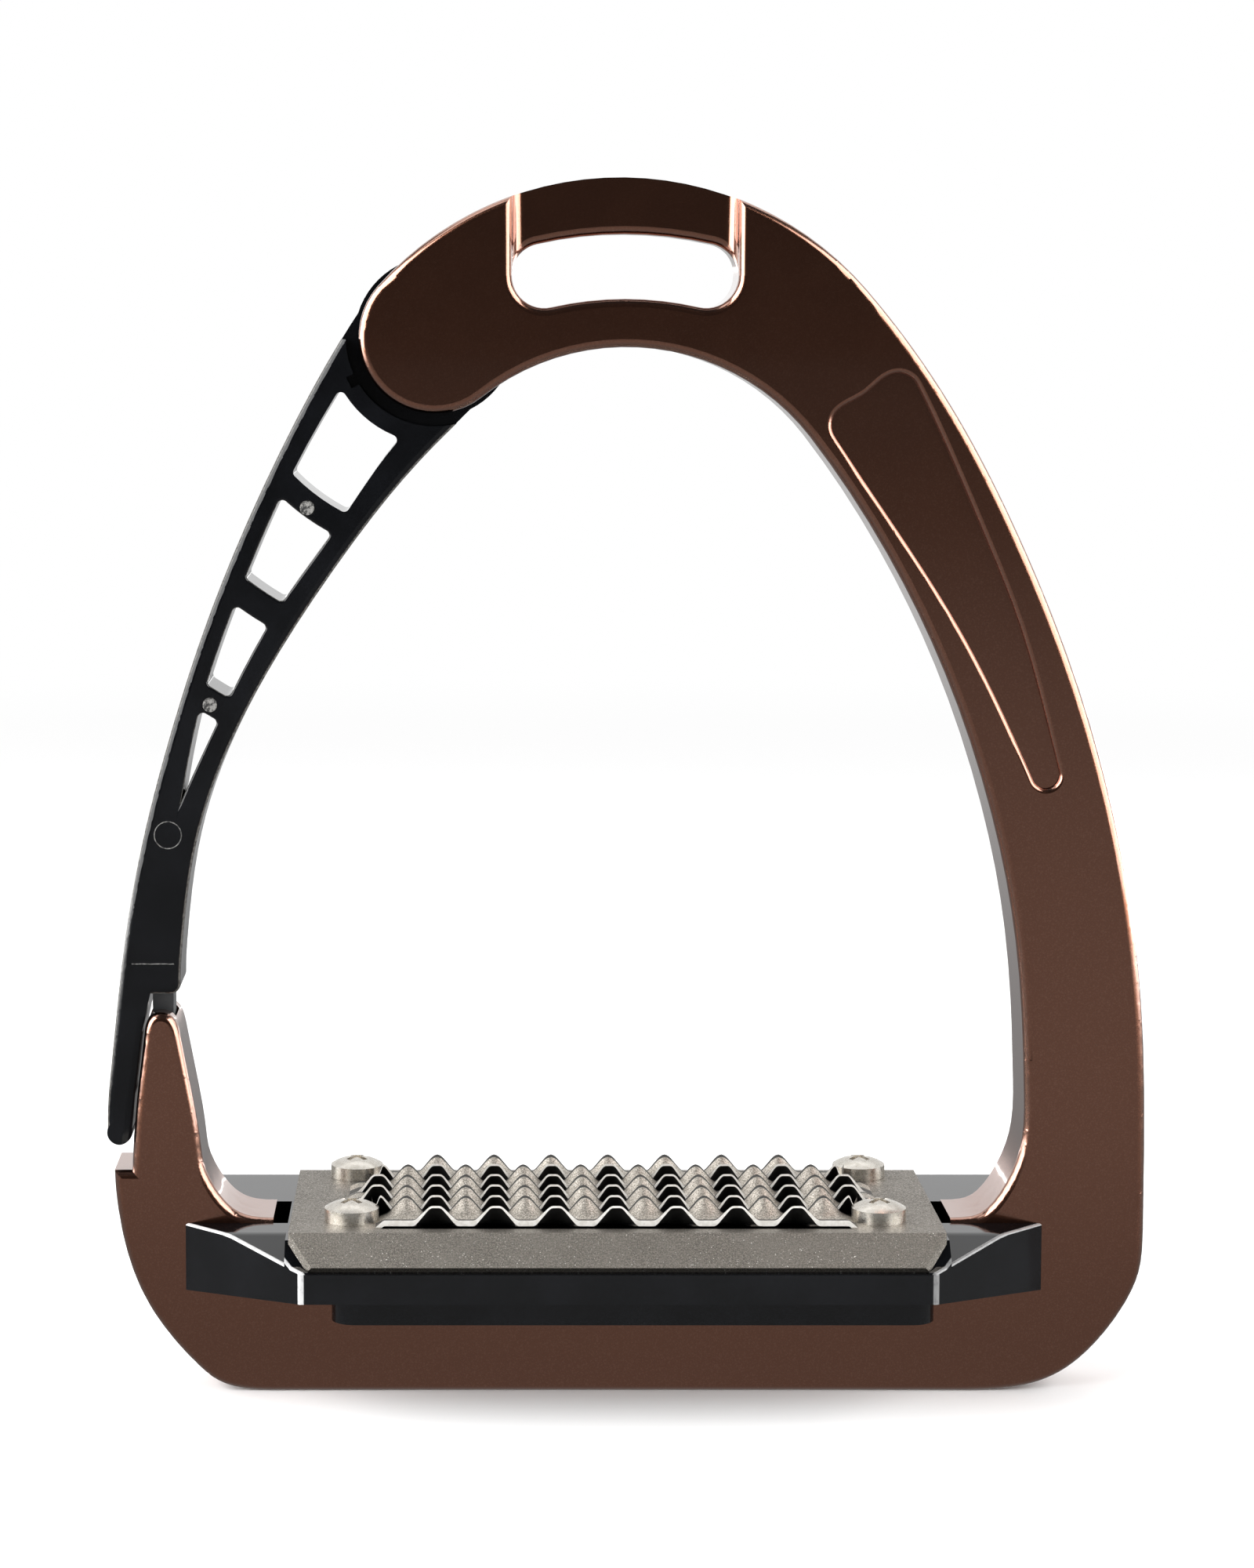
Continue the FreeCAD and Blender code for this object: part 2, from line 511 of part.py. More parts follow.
def build_tread_body():
    gap_y = HALF + 0.05
    underside = [(-BODY_HALF_Y, BODY_LOW_OUT), (-gap_y, BODY_LOW_IN), (gap_y, BODY_LOW_IN),
                 (BODY_HALF_Y, BODY_LOW_OUT)]
    wing = prism_along_x(underside + [(BODY_HALF_Y, WING_TOP), (-WING_BREAK_Y, WING_TOP),
                                      (-BODY_HALF_Y, WING_EDGE)],
                         TREAD_X - BODY_HALF_X, TREAD_X + BODY_HALF_X)
    brink = [e for e in wing.Edges
             if e.BoundBox.YLength < 1e-3 and abs(e.CenterOfMass.y + WING_BREAK_Y) < 1e-3]
    wing = wing.makeFillet(WING_ROUND, brink).common(body_plan())
    corners = [e for e in wing.Edges if e.BoundBox.ZLength > 3 and e.BoundBox.XLength < 1e-3
               and e.BoundBox.YLength < 1e-3 and abs(e.CenterOfMass.y) > HALF + 1]
    wing = wing.makeFillet(CORNER_ROUND, corners)
    brows = [e for e in wing.Edges if e.CenterOfMass.z > WING_EDGE - 1 and e.CenterOfMass.y < -HALF - 1
             and e.BoundBox.XLength > 3 and abs(e.CenterOfMass.x - TREAD_X) > CORNER_HALF_X]
    wing = wing.makeFillet(RIDGE_ROUND, brows)

    inner_top = PLATE_TOP - SHEET - SHEET_GAP
    shelf_y, shelf_z = BODY_HALF_Y - 1.1, WING_EDGE - 0.3
    seat_edge = PLATE_HALF_Y - SHEET / 2
    bed = [(BODY_HALF_Y, shelf_z), (shelf_y, shelf_z), (seat_edge, inner_top)]
    bed += [(-y, z) for y, z in reversed(bed)]
    centre = prism_along_x(underside + bed, TREAD_X - PLATE_HALF_X - SIDE_GAP,
                           TREAD_X + PLATE_HALF_X + SIDE_GAP)
    body = wing.fuse(centre.common(body_plan())).cut(build_plate_blank(SIDE_GAP, SHEET_GAP))
    bar_room = box((-ABOVE, ABOVE), (-gap_y, gap_y), (0, BAR_TOP + 0.05))
    foot_depth = 2.2
    foot_rooms = [box((-ABOVE, SEAT_LEFT + foot_depth), (-gap_y, gap_y), (0, ABOVE)),
                  box((SEAT_RIGHT - foot_depth, ABOVE), (-gap_y, gap_y), (0, ABOVE))]
    holes = [rod_z(x, y, SCREW_R + 0.25, 0, ABOVE) for x, y in screw_places()]
    sockets = [rod_z(TREAD_X + side * BOLT_HALF_X, 0, INSERT_R + 0.05, BAR_TOP - 1, BAR_TOP + INSERT_H + 0.2)
               for side in (-1, 1)]
    return body.cut([bar_room] + foot_rooms + holes + sockets).removeSplitter()


# ---- tread plate ----
def screw_places():
    return [(TREAD_X - SCREW_HALF_X, SCREW_FRONT_Y), (TREAD_X + SCREW_HALF_X, SCREW_FRONT_Y),
            (TREAD_X - SCREW_HALF_X, SCREW_REAR_Y), (TREAD_X + SCREW_HALF_X, SCREW_REAR_Y)]


def build_plate_blank(side_gap=0.0, under_gap=0.0):
    """The bent sheet: a flat top with a sloping flange front and rear, trimmed at its corners.

    With gaps it is the room that the sheet takes in the tread body, open upwards."""
    slope = math.hypot(FLANGE_RUN, FLANGE_DROP)
    toe = (PLATE_HALF_Y + FLANGE_RUN, PLATE_TOP - FLANGE_DROP)
    depth = SHEET + under_gap
    inner_toe = (toe[0] - depth * FLANGE_DROP / slope, toe[1] - depth * FLANGE_RUN / slope)
    inner_bend = (PLATE_HALF_Y - depth * 0.41, PLATE_TOP - depth)
    half_x = PLATE_HALF_X + side_gap
    if under_gap:
        profile = mirrored([inner_bend, inner_toe, (toe[0] + 3, inner_toe[1]), (toe[0] + 3, 40)])
    else:
        rear = [(PLATE_HALF_Y, PLATE_TOP), toe, inner_toe, inner_bend]
        profile = rear + [(-y, z) for y, z in reversed(rear)]
    blank = prism_along_x(profile, TREAD_X - half_x, TREAD_X + half_x)
    reach_y = PLATE_HALF_Y + FLANGE_RUN
    trim = FLANGE_TRIM
    plan = Part.Face(Part.makePolygon([Vector(TREAD_X + sx * x, sy * y, 0) for sx, sy, x, y in (
        (-1, -1, half_x, PLATE_HALF_Y), (-1, -1, half_x - trim, reach_y + 0.01),
        (-1, -1, half_x - trim, reach_y + 5), (1, -1, half_x - trim, reach_y + 5),
        (1, -1, half_x - trim, reach_y + 0.01), (1, -1, half_x, PLATE_HALF_Y),
        (1, 1, half_x, PLATE_HALF_Y), (1, 1, half_x - trim, reach_y + 0.01),
        (1, 1, half_x - trim, reach_y + 5), (-1, 1, half_x - trim, reach_y + 5),
        (-1, 1, half_x - trim, reach_y + 0.01), (-1, 1, half_x, PLATE_HALF_Y),
        (-1, -1, half_x, PLATE_HALF_Y))]))
    return blank.common(plan.extrude(Vector(0, 0, 60)))


def wave(x, first, last, offset):
    """Height of a tooth row's edge at x: flat-topped crests at every pitch from first to last."""
    height = TROUGH_HEIGHT
    for k in range(first, last + 1):
        away = abs(x - (k + offset) * TOOTH_PITCH)
        if away < FOOT_HALF:
            rise = min(1.0, (FOOT_HALF - away) / (FOOT_HALF - CREST_HALF))
            height = max(height, TROUGH_HEIGHT + (TOOTH_HEIGHT - TROUGH_HEIGHT) * rise)
    return height


def tooth_strip(row):
    """One strip of the sheet between two cuts: crests open to the front, then crests open to the back."""
    half_x = STRIP_HALF_X[row]
    level_half_x = half_x - STRIP_RAMP
    breaks = {-half_x, half_x, -level_half_x, level_half_x}
    for k in range(-10, 11):
        for away in (-FOOT_HALF, -CREST_HALF, CREST_HALF, FOOT_HALF):
            x = k * TOOTH_PITCH / 2 + away
            if abs(x) < level_half_x:
                breaks.add(round(x, 6))
    xs = sorted(breaks)
    low_y = -TOOTH_ROWS * TOOTH_ROW_DEPTH / 2 + row * TOOTH_ROW_DEPTH + LANCE_GAP / 2
    high_y = low_y + TOOTH_ROW_DEPTH - LANCE_GAP
    rear_offset = 0.0 if row == TOOTH_ROWS - 1 else 0.5
    sections = []
    for y, offset, reach in ((low_y, 0.0, STRIP_REACH[row]), (high_y, rear_offset, 3)):
        tops = []
        for x in xs:
            height = wave(x, -reach if offset == 0 else -4, reach, offset)
            at_end = abs(x) > half_x - STRIP_RAMP / 2
            tops.append((x, 0.0 if at_end and height <= TROUGH_HEIGHT else height))
        upper = [Vector(TREAD_X + x, y, PLATE_TOP + z) for x, z in tops]
        lower = [Vector(TREAD_X + x, y, PLATE_TOP + z - SHEET) for x, z in reversed(tops)]
        sections.append(Part.makePolygon(upper + lower + upper[:1]))
    return Part.makeLoft(sections, True, True)


def build_grip_plate():
    plate = build_plate_blank()
    depth = TOOTH_ROWS * TOOTH_ROW_DEPTH
    cutters = [rod_z(x, y, SCREW_R + 0.3, 0, ABOVE) for x, y in screw_places()]
    for row in range(TOOTH_ROWS):
        half_x = STRIP_HALF_X[row] - 0.8
        low_y = -depth / 2 + row * TOOTH_ROW_DEPTH
        front_room = 0.7 if row == 0 else 0.0
        rear_room = 0.7 if row == TOOTH_ROWS - 1 else 0.0
        cutters.append(box((TREAD_X - half_x, TREAD_X + half_x),
                           (low_y - front_room, low_y + TOOTH_ROW_DEPTH + rear_room), (20, 40)))
    plate = plate.cut(cutters).fuse([tooth_strip(row) for row in range(TOOTH_ROWS)])
    head_rooms = [rod_z(x, y, HEAD_SCREW_R + 0.15, PLATE_TOP, ABOVE) for x, y in screw_places()]
    return plate.cut(head_rooms)


# ---- fasteners ----
def build_nut_bar(side):
    """Plastic bar under the tread body that holds two nuts, with round ends."""
    near, far = HALF + 0.1, NUT_BAR_REAR if side > 0 else -NUT_BAR_FRONT
    bar = box((NUT_BAR_LEFT, NUT_BAR_RIGHT), (near, far), (NUT_BAR_LOW, BODY_LOW_OUT + 2))
    if side < 0:
        bar = bar.mirror(Vector(0, 0, 0), Vector(0, 1, 0))
    corners = [e for e in bar.Edges if e.BoundBox.ZLength > 3 and abs(abs(e.CenterOfMass.y) - far) < 1e-3]
    bar = bar.makeFillet(3.6, corners)
    slope = (BODY_LOW_OUT - BODY_LOW_IN) / (BODY_HALF_Y - HALF - 0.05)
    low_in, reach_y = BODY_LOW_IN - 0.05, 30
    low_out = low_in + slope * (reach_y - HALF - 0.05)
    lid = [(HALF, low_in), (reach_y, low_out), (reach_y, ABOVE), (HALF, ABOVE)]
    above = prism_along_x([(side * y, z) for y, z in lid], -ABOVE, ABOVE)
    y = SCREW_REAR_Y if side > 0 else SCREW_FRONT_Y
    cutters = [above]
    for x in (TREAD_X - SCREW_HALF_X, TREAD_X + SCREW_HALF_X):
        cutters.append(rod_z(x, y, SCREW_R + 0.15, 0, ABOVE))
        cutters.append(rod_z(x, y, NUT_R + 0.05, NUT_BAR_LOW - 1, NUT_BAR_LOW + NUT_H + 0.1))
    return bar.cut(cutters)


def build_plate_screw(x, y):
    """Pan-head cross-recess screw."""
    side_h = 1.9
    cylinder = rod_z(x, y, HEAD_SCREW_R, PLATE_TOP + 0.02, PLATE_TOP + side_h)
    rise = HEAD_SCREW_H - side_h
    ball_r = (HEAD_SCREW_R ** 2 + rise ** 2) / (2 * rise)
    dome = Part.makeSphere(ball_r, Vector(x, y, PLATE_TOP + HEAD_SCREW_H - ball_r))
    dome = dome.common(rod_z(x, y, HEAD_SCREW_R, PLATE_TOP + side_h, PLATE_TOP + HEAD_SCREW_H + 1))
    shank = rod_z(x, y, SCREW_R, PLATE_TOP - SCREW_LENGTH, PLATE_TOP + 0.02)
    screw = cylinder.fuse([dome, shank])
    recess = []
    for turn in (45, 135):
        top, bottom = 2.3, 0.5
        low_z, high_z = PLATE_TOP + 0.9, PLATE_TOP + HEAD_SCREW_H + 0.3
        half_t = 0.42
        wedge = [Vector(-bottom, -half_t, low_z), Vector(bottom, -half_t, low_z),
                 Vector(top, -half_t, high_z), Vector(-top, -half_t, high_z)]
        blade = Part.Face(Part.makePolygon(wedge + wedge[:1])).extrude(Vector(0, 2 * half_t, 0))
        blade.rotate(Vector(0, 0, 0), Vector(0, 0, 1), turn)
        blade.translate(Vector(x, y, 0))
        recess.append(blade)
    return screw.cut(recess).removeSplitter()


def build_plate_nut(x, y):
    """A round clinch nut, let into the bar from below."""
    nut = rod_z(x, y, NUT_R, NUT_BAR_LOW + 0.05, NUT_BAR_LOW + 0.05 + NUT_H)
    return nut.cut(rod_z(x, y, SCREW_R + 0.02, 0, ABOVE))


def build_base_bolt(x):
    head = rod_z(x, 0, BOLT_HEAD_R, BOLT_LOW, BOLT_LOW + BOLT_HEAD_H)
    shank = rod_z(x, 0, BOLT_R, BOLT_LOW + BOLT_HEAD_H, BAR_TOP + INSERT_H - 0.4)
    return head.fuse(shank).cut(hex_prism(x, 0, 0, 3.0, 1.9)).removeSplitter()


def build_base_insert(x):
    sleeve = rod_z(x, 0, INSERT_R, BAR_TOP + 0.1, BAR_TOP + 0.1 + INSERT_H)
    return sleeve.cut(rod_z(x, 0, BOLT_R + 0.03, 0, ABOVE))


# ---- assembly ----
def build_all():
    nodes = {
        "frame": build_frame(),
        "release_arm": build_arm(),
        "closing_buffer": build_buffer(),
        "pivot_screw": build_pivot_screw(),
        "pivot_bush": build_bush(),
        "pivot_washer_front": build_washer(BUSH_R + 0.25, -1),
        "pivot_washer_rear": build_washer(8.0, 1),
        "return_spring": build_spring(),
        "tread_body": build_tread_body(),
        "grip_plate": build_grip_plate(),
        "front_nut_bar": build_nut_bar(-1),
        "rear_nut_bar": build_nut_bar(1),
    }
    corners = ("front_left", "front_right", "rear_left", "rear_right")
    for name, (x, y) in zip(corners, screw_places()):
        nodes["plate_screw_" + name] = build_plate_screw(x, y)
        nodes["plate_nut_" + name] = build_plate_nut(x, y)
    for name, side in (("left", -1), ("right", 1)):
        x = TREAD_X + side * BOLT_HALF_X
        nodes["base_bolt_" + name] = build_base_bolt(x)
        nodes["base_insert_" + name] = build_base_insert(x)
    return nodes


os.makedirs("parts", exist_ok=True)
for node_name, node_shape in build_all().items():
    node_shape.exportStep("parts/" + node_name + ".step")
    print(node_name, node_shape.isValid(), len(node_shape.Solids), round(node_shape.Volume, 1))
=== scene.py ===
import math

import bmesh
import bpy
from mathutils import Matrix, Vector


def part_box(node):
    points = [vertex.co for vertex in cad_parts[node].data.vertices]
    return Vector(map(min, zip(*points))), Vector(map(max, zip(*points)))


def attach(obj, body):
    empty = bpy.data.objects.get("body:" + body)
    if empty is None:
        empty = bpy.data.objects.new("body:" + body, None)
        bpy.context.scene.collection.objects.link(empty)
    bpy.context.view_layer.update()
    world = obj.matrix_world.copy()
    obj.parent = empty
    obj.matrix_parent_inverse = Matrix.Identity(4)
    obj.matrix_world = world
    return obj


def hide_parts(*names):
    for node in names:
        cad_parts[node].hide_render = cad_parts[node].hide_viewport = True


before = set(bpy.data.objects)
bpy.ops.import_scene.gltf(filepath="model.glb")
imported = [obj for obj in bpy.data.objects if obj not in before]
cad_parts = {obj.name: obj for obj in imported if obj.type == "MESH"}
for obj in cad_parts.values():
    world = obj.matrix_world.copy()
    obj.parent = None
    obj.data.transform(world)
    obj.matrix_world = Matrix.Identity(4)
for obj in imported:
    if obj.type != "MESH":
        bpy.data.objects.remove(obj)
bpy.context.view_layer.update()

MM = 0.001
WHITE = (1.0, 1.0, 1.0, 1)


# ---- node helpers: sizes and depths in millimetres, colours in linear light ----
def new_material(name):
    """An empty material: its node tree and its Principled shader."""
    material = bpy.data.materials.new(name)
    material.use_nodes = True
    tree = material.node_tree
    shader = tree.nodes["Principled BSDF"]
    return material, tree, shader


def socket(tree, target, value):
    """Puts a number, a colour or another node's output into a socket."""
    if isinstance(value, bpy.types.NodeSocket):
        tree.links.new(value, target)
    else:
        target.default_value = value


def place(tree):
    """Position in the piece's own frame, which moves with the piece."""
    return tree.nodes.new("ShaderNodeTexCoord").outputs["Object"]


def surface_normal(tree):
    """The way the surface looks, in the piece's own frame."""
    return tree.nodes.new("ShaderNodeTexCoord").outputs["Normal"]


def noise(tree, size_mm, detail=3.0, roughness=0.5, finer=(1.0, 1.0, 1.0)):
    """Smooth noise with features of a given size, made finer or coarser along each axis."""
    node = tree.nodes.new("ShaderNodeTexNoise")
    node.inputs["Scale"].default_value = 1.0
    node.inputs["Detail"].default_value = detail
    node.inputs["Roughness"].default_value = roughness
    mapping = tree.nodes.new("ShaderNodeMapping")
    per_metre = 1.0 / (size_mm * MM)
    mapping.inputs["Scale"].default_value = [per_metre * factor for factor in finer]
    tree.links.new(place(tree), mapping.inputs["Vector"])
    tree.links.new(mapping.outputs["Vector"], node.inputs["Vector"])
    return node.outputs["Fac"]


def ramp(tree, value, low, high, out_low=0.0, out_high=1.0):
    """Maps low..high to out_low..out_high, smoothly and clamped."""
    node = tree.nodes.new("ShaderNodeMapRange")
    node.interpolation_type = "SMOOTHSTEP"
    socket(tree, node.inputs["Value"], value)
    node.inputs["From Min"].default_value = low
    node.inputs["From Max"].default_value = high
    node.inputs["To Min"].default_value = out_low
    node.inputs["To Max"].default_value = out_high
    return node.outputs["Result"]


def calculate(tree, operation, a, b=0.0):
    """The result of one operation, such as "ADD", on one or two values."""
    node = tree.nodes.new("ShaderNodeMath")
    node.operation = operation
    socket(tree, node.inputs[0], a)
    socket(tree, node.inputs[1], b)
    return node.outputs["Value"]


def times(tree, a, b):
    return calculate(tree, "MULTIPLY", a, b)


def plus(tree, a, b):
    return calculate(tree, "ADD", a, b)


def minus(tree, a, b):
    return calculate(tree, "SUBTRACT", a, b)


def axes(tree, vector):
    """The X, Y and Z of a vector."""
    split = tree.nodes.new("ShaderNodeSeparateXYZ")
    tree.links.new(vector, split.inputs["Vector"])
    return [split.outputs[axis] for axis in "XYZ"]


def blend_colours(tree, factor, a, b):
    """Colour a where the factor is 0, and colour b where it is 1."""
    node = tree.nodes.new("ShaderNodeMix")
    node.data_type = "RGBA"
    colour_a, colour_b, colour_out = node.inputs[6], node.inputs[7], node.outputs[2]
    socket(tree, node.inputs["Factor"], factor)
    socket(tree, colour_a, a)
    socket(tree, colour_b, b)
    return colour_out


def blend_shaders(tree, factor, a, b):
    """Shader a where the factor is 0, and shader b where it is 1."""
    node = tree.nodes.new("ShaderNodeMixShader")
    socket(tree, node.inputs["Fac"], factor)
    tree.links.new(a, node.inputs[1])
    tree.links.new(b, node.inputs[2])
    return node.outputs["Shader"]


def bump(tree, height, depth_mm, strength=1.0):
    """A surface normal that follows a height of 0..1 times the depth."""
    node = tree.nodes.new("ShaderNodeBump")
    node.inputs["Strength"].default_value = strength
    node.inputs["Distance"].default_value = depth_mm * MM
    socket(tree, node.inputs["Height"], height)
    return node.outputs["Normal"]


def edge_mask(tree, fade_from=0.8, fade_to=0.97):
    """1 on rounded edges, where the surface looks neither along Y nor square to it, and 0 elsewhere."""
    facing = calculate(tree, "ABSOLUTE", axes(tree, surface_normal(tree))[1])
    off_the_side = ramp(tree, facing, 0.08, 0.3)
    off_the_front = ramp(tree, facing, fade_from, fade_to, 1.0, 0.0)
    return times(tree, off_the_side, off_the_front)


# ---- materials ----
def brown_lacquer():
    """Metallic brown lacquer under a clear coat, with specks, chipped edges, and rounded edges painted paler
    and less saturated so that their highlights look pinker: a painted highlight tint.
    """
    material, tree, shader = new_material("brown_lacquer")
    shader.inputs["Metallic"].default_value = 1.0
    shader.inputs["Coat Weight"].default_value = 1.0
    shader.inputs["Coat Roughness"].default_value = 0.04
    shader.inputs["Coat IOR"].default_value = 1.5
    brown, flake = (0.29, 0.118, 0.068, 1), (0.43, 0.21, 0.14, 1)
    highlight_tint, chip = (0.34, 0.20, 0.155, 1), (0.6, 0.42, 0.34, 1)
    on_edges = edge_mask(tree)
    flaked = ramp(tree, noise(tree, 0.22, 1.0), 0.45, 0.8, 0.0, 0.5)
    chipped = times(tree, on_edges, ramp(tree, noise(tree, 0.5, 2.0, 0.6), 0.66, 0.74))
    base = blend_colours(tree, flaked, brown, flake)
    # Painted highlight tint: every rounded edge gets a paler, less saturated brown so its highlight looks
    # pinker; the chips below are wear.
    base = blend_colours(tree, times(tree, on_edges, 0.6), base, highlight_tint)
    base = blend_colours(tree, times(tree, chipped, 0.5), base, chip)
    socket(tree, shader.inputs["Base Color"], base)
    socket(tree, shader.inputs["Roughness"], ramp(tree, noise(tree, 6.0, 2.0), 0.3, 0.7, 0.19, 0.20))
    dents = times(tree, ramp(tree, noise(tree, 1.1, 1.0), 0.66, 0.78), on_edges)
    tree.links.new(bump(tree, dents, 0.03, 0.5), shader.inputs["Normal"])
    tree.links.new(bump(tree, dents, 0.02, 0.4), shader.inputs["Coat Normal"])
    return material


def glossy_nylon(name="glossy_nylon", edge_wear_and_highlight=0.0, specular=0.5):
    """Moulded black plastic with a slight flow pattern. Edge wear of 0..1 paints its rounded edges pale:
    partly scuffs, partly a painted highlight.
    """
    material, tree, shader = new_material(name)
    shader.inputs["IOR"].default_value = 1.52
    shader.inputs["Specular IOR Level"].default_value = specular
    black, soft_black = (0.0020, 0.0022, 0.0027, 1), (0.0034, 0.0037, 0.0046, 1)
    scuff_and_highlight_grey = (0.13, 0.124, 0.113, 1)
    base = blend_colours(tree, ramp(tree, noise(tree, 9.0, 3.0), 0.35, 0.7), black, soft_black)
    if edge_wear_and_highlight:
        # Pale rounded edges: partly scuffs, partly a painted highlight that makes up for the weaker gloss.
        scuffs = ramp(tree, noise(tree, 0.5, 3.0, 0.7), 0.35, 0.6, 0.3, 1.0)
        worn_and_highlit = times(tree, edge_mask(tree, 0.6, 0.78), scuffs)
        base = blend_colours(tree, times(tree, worn_and_highlit, edge_wear_and_highlight), base, scuff_and_highlight_grey)
    socket(tree, shader.inputs["Base Color"], base)
    flow = noise(tree, 3.0, 4.0, 0.6, finer=(1.0, 1.0, 0.3))
    socket(tree, shader.inputs["Roughness"], ramp(tree, flow, 0.3, 0.75, 0.06, 0.12))
    tree.links.new(bump(tree, noise(tree, 2.6, 1.0), 0.003), shader.inputs["Normal"])
    return material


def front_face_half(node, front_y, middle_x):
    """Half the length of a node's front face."""
    touching = 0.01 * MM
    return max(abs(v.co.x - middle_x) for v in node.data.vertices if v.co.y < front_y + touching)


def saddle_painted_highlight(tree):
    """How strongly the tread body is painted pale, 0..1, on its slanted front ridges and at its front
    corners: a painted highlight, weaker on the right, where the light is weaker.

    A ridge runs from each front corner to the far end of the wing, level with the frame's front."""
    low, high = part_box("tread_body")
    middle, half_x = (low.x + high.x) / 2, (high.x - low.x) / 2
    corner_half_x = front_face_half(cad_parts["tread_body"], low.y, middle)
    ridge = Vector((half_x - corner_half_x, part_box("frame")[0].y - low.y)).normalized()
    x, y, _ = axes(tree, place(tree))
    across = minus(tree, x, middle)
    past_corner_x = minus(tree, calculate(tree, "ABSOLUTE", across), corner_half_x)
    past_corner_y = minus(tree, y, low.y)
    from_ridge = minus(tree, times(tree, past_corner_x, ridge.y), times(tree, past_corner_y, ridge.x))
    near_ridge = ramp(tree, calculate(tree, "ABSOLUTE", from_ridge), 0.35 * MM, 0.55 * MM, 1.0, 0.0)
    looking_up = ramp(tree, axes(tree, surface_normal(tree))[2], 0.1, 0.3)
    squares = plus(tree, times(tree, past_corner_x, past_corner_x), times(tree, past_corner_y, past_corner_y))
    near_corner = ramp(tree, calculate(tree, "SQRT", squares), 0.4 * MM, 0.6 * MM, 1.0, 0.0)
    painted_bright = calculate(tree, "MAXIMUM", times(tree, near_ridge, looking_up), near_corner)
    less_on_the_right = ramp(tree, across, -1 * MM, 1 * MM, 1.0, 0.35)
    broken_up = ramp(tree, noise(tree, 0.9, 2.0), 0.2, 0.5, 0.6, 1.0)
    return times(tree, times(tree, painted_bright, less_on_the_right), broken_up)


def saddle_nylon():
    """The tread body's plastic, with pale painted highlights on its ridges and front corners."""
    material = glossy_nylon("saddle_nylon")
    tree = material.node_tree
    colour = tree.nodes["Principled BSDF"].inputs["Base Color"]
    plain, pale = colour.links[0].from_socket, (0.50, 0.50, 0.50, 1)
    # Painted highlight: the slanted ridges and front corners are painted pale.
    socket(tree, colour, blend_colours(tree, saddle_painted_highlight(tree), plain, pale))
    return material


def blasted_steel(name, brightness):
    """Bead-blasted stainless steel: fine grain with glints."""
    material, tree, shader = new_material(name)
    shader.inputs["Metallic"].default_value = 1.0
    pit, peak = [[brightness * channel for channel in colour] + [1]
                 for colour in ((0.13, 0.12, 0.105), (0.36, 0.333, 0.295))]
    smear, spark = (0.30, 0.28, 0.25, 1), (0.95, 0.93, 0.88, 1)
    grain = noise(tree, 0.22, 2.0, 0.7)
    base = blend_colours(tree, ramp(tree, grain, 0.35, 0.7), pit, peak)
    base = blend_colours(tree, ramp(tree, noise(tree, 6.0, 3.0), 0.3, 0.7, 0.0, 0.25), base, smear)
    base = blend_colours(tree, ramp(tree, noise(tree, 0.20, 0.0), 0.77, 0.82), base, spark)
    socket(tree, shader.inputs["Base Color"], base)
    socket(tree, shader.inputs["Roughness"], ramp(tree, grain, 0.3, 0.7, 0.62, 0.45))
    tree.links.new(bump(tree, grain, 0.035, 0.9), shader.inputs["Normal"])
    return material


def bright_steel(name="bright_steel", tint=(0.62, 0.59, 0.54, 1), metallic=1.0, roughness=0.28):
    """Plated or bare steel with a fine grain and slightly duller patches."""
    material, tree, shader = new_material(name)
    shader.inputs["Metallic"].default_value = metallic
    dull = ramp(tree, noise(tree, 0.8, 3.0, 0.6), 0.4, 0.65)
    darker = (tint[0] * 0.85, tint[1] * 0.84, tint[2] * 0.82, 1)
    socket(tree, shader.inputs["Base Color"], blend_colours(tree, dull, tint, darker))
    grain = noise(tree, 0.25, 3.0, 0.6)
    socket(tree, shader.inputs["Roughness"], ramp(tree, grain, 0.3, 0.7, roughness - 0.04, roughness + 0.08))
    tree.links.new(bump(tree, grain, 0.003, 0.5), shader.inputs["Normal"])
    return material


def bronze():
    """Oiled bronze with fine turning marks round its Y axis."""
    material, tree, shader = new_material("oiled_bronze")
    shader.inputs["Metallic"].default_value = 1.0
    turned = noise(tree, 1.0, 2.0, finer=(0.2, 6.0, 0.2))
    socket(tree, shader.inputs["Base Color"],
           blend_colours(tree, turned, (0.42, 0.25, 0.09, 1), (0.62, 0.40, 0.17, 1)))
    socket(tree, shader.inputs["Roughness"], ramp(tree, turned, 0.3, 0.7, 0.25, 0.45))
    tree.links.new(bump(tree, turned, 0.01), shader.inputs["Normal"])
    return material


def grey_rubber():
    """Dark grey rubber with a fine speckle."""
    material, tree, shader = new_material("grey_rubber")
    speck = noise(tree, 0.25, 3.0, 0.6)
    socket(tree, shader.inputs["Base Color"],
           blend_colours(tree, speck, (0.030, 0.032, 0.034, 1), (0.055, 0.057, 0.060, 1)))
    socket(tree, shader.inputs["Roughness"], ramp(tree, speck, 0.3, 0.7, 0.45, 0.65))
    tree.links.new(bump(tree, speck, 0.02), shader.inputs["Normal"])
    return material


def dull_nylon():
    """The moulded plastic where it is scuffed, rough and greyish. On the step line its grey is a painted
    highlight.
    """
    material, tree, shader = new_material("dull_nylon")
    scuffs = noise(tree, 0.5, 3.0, 0.7, finer=(1.0, 1.0, 3.0))
    black, grey = (0.02, 0.02, 0.02, 1), (0.20, 0.195, 0.185, 1)
    socket(tree, shader.inputs["Base Color"], blend_colours(tree, ramp(tree, scuffs, 0.4, 0.62), black, grey))
    socket(tree, shader.inputs["Roughness"], ramp(tree, scuffs, 0.3, 0.7, 0.4, 0.6))
    tree.links.new(bump(tree, scuffs, 0.04), shader.inputs["Normal"])
    return material


